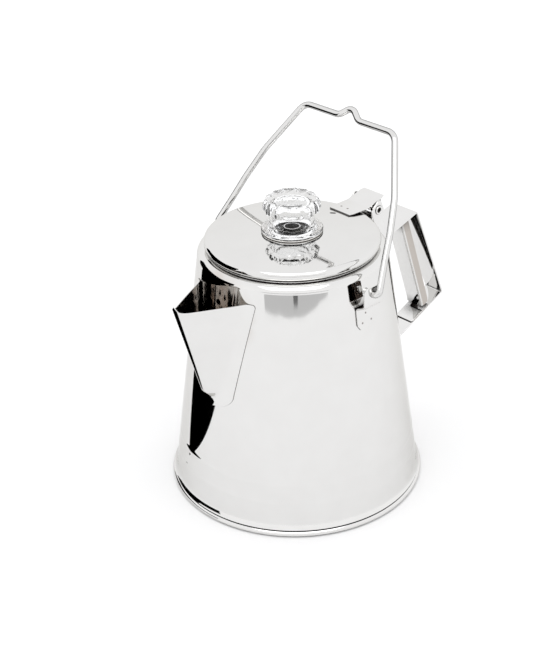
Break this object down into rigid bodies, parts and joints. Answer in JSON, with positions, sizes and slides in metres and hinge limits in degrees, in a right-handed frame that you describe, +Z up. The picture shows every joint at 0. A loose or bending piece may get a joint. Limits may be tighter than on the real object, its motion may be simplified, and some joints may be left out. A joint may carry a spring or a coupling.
{
  "type": "coffee percolator",
  "caption": "Conical stainless camp coffee percolator with folded spout, strap handle, wire bail, hinged lid with clear fluted knob, and lift-out pump stem with basket.",
  "frame": {"origin": "middle of the base, on the resting plane", "axes": "+Z up along the pot's axis; the spout points along -X and the handle and lid hinge are on +X; +Y is to the right of someone pouring, and is also the axis of the hinge and the bail"},
  "size_m": [0.2637, 0.19, 0.2713],
  "materials": {
    "polished_steel": "mirror-polished stainless sheet with faint drawing and wear marks",
    "plain_steel": "plain stainless, satin",
    "clear_knob": "clear moulded, slightly smoky at the neck",
    "gasket": "thin black sealing washer"
  },
  "bodies": {
    "pot": {"body_shell": "polished_steel", "base_pan": "polished_steel", "spout": "polished_steel", "hinge_bracket": "polished_steel", "hinge_pin": "plain_steel", "handle_band": "polished_steel", "grip_band": "polished_steel", "bail_ear_left": "polished_steel", "bail_ear_right": "polished_steel"},
    "lid": {"lid_shell": "polished_steel", "lid_ring": "plain_steel", "hinge_leaf": "polished_steel", "knob_washer": "gasket"},
    "knob": {"knob": "clear_knob", "knob_retainer": "plain_steel"},
    "bail": {"bail_wire": "polished_steel"},
    "pump": {"pump_tube": "plain_steel", "pump_foot": "plain_steel", "basket_stop": "plain_steel"},
    "basket": {"basket": "plain_steel", "basket_sleeve": "plain_steel"},
    "spreader": {"basket_lid": "plain_steel"},
    "valve": {"valve_disc": "plain_steel"}
  },
  "joints": [
    {"name": "lid_hinge", "type": "hinge", "parent": "pot", "child": "lid", "pos_m": [0.0746, 0, 0.1916], "axis": [0, 1, 0], "range_deg": [0, 40]},
    {"name": "bail_swing", "type": "hinge", "parent": "pot", "child": "bail", "pos_m": [0, 0, 0.1747], "axis": [0, 1, 0], "range_deg": [-119, 55]},
    {"name": "knob_turn", "type": "hinge", "parent": "lid", "child": "knob", "pos_m": [0, 0, 0.194], "axis": [0, 0, 1], "range_deg": [0, 90]},
    {"name": "pump_lift", "type": "slide", "parent": "pot", "child": "pump", "axis": [0, 0, 1], "range_m": [0, 0.012]},
    {"name": "basket_lift", "type": "slide", "parent": "pump", "child": "basket", "axis": [0, 0, 1], "range_m": [0, 0.008]},
    {"name": "spreader_lift", "type": "slide", "parent": "basket", "child": "spreader", "axis": [0, 0, 1], "range_m": [0, 0.008]},
    {"name": "valve_lift", "type": "slide", "parent": "pump", "child": "valve", "axis": [0, 0, 1], "range_m": [0, 0.002]}
  ]
}
